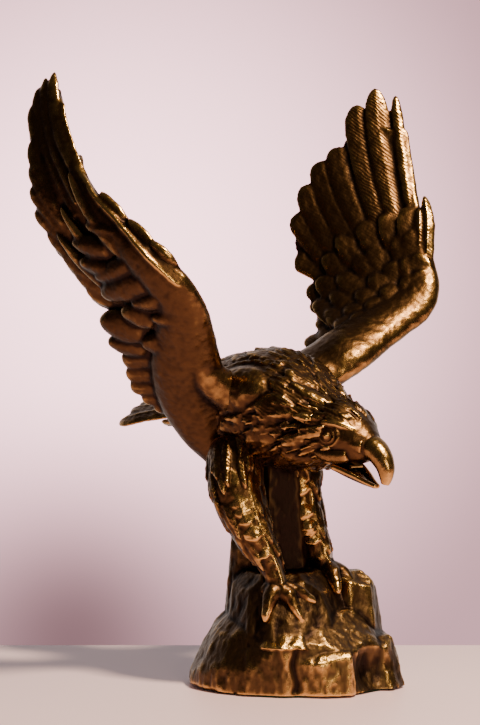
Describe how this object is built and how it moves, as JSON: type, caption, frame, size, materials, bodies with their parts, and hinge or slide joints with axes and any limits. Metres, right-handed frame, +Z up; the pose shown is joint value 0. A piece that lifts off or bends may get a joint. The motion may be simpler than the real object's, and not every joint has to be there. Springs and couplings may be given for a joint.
{
  "type": "eagle statuette",
  "caption": "Cast bronze eagle with raised wings and open beak, standing on a hollow faceted rock with a felt underside.",
  "frame": {"origin": "middle of the felt pad's flat underside, where the statuette stands", "axes": "+Z up, +X to the right and +Y away from someone looking at the presentation side (-Y); the bird faces half way between +X and -Y"},
  "size_m": [0.2263, 0.1746, 0.3365],
  "materials": {
    "patinated_bronze": "satin",
    "rock_bronze": "satin",
    "rubbed_bronze": "polished",
    "pin_brass": "satin",
    "steel": "satin",
    "felt": "matte"
  },
  "bodies": {
    "root": {"body_nut": "steel", "body_stud": "steel", "body_washer": "steel", "bottom_plate": "steel", "felt_pad": "felt", "head": "patinated_bronze", "jaw_pin": "pin_brass", "left_foot_nut": "steel", "left_foot_stud": "steel", "left_foot_washer": "steel", "left_hip_pin": "pin_brass", "left_leg": "patinated_bronze", "left_wing": "patinated_bronze", "left_wing_pin_front": "pin_brass", "left_wing_pin_rear": "pin_brass", "lower_beak": "rubbed_bronze", "neck_pin": "pin_brass", "plate_screw_1": "steel", "plate_screw_2": "steel", "plate_screw_3": "steel", "plate_screw_4": "steel", "right_foot_nut": "steel", "right_foot_stud": "steel", "right_foot_washer": "steel", "right_hip_pin": "pin_brass", "right_leg": "patinated_bronze", "right_wing": "patinated_bronze", "right_wing_pin_front": "pin_brass", "right_wing_pin_rear": "pin_brass", "rock_base": "rock_bronze", "tail": "patinated_bronze", "tail_pin": "pin_brass", "torso": "patinated_bronze"}
  },
  "joints": []
}
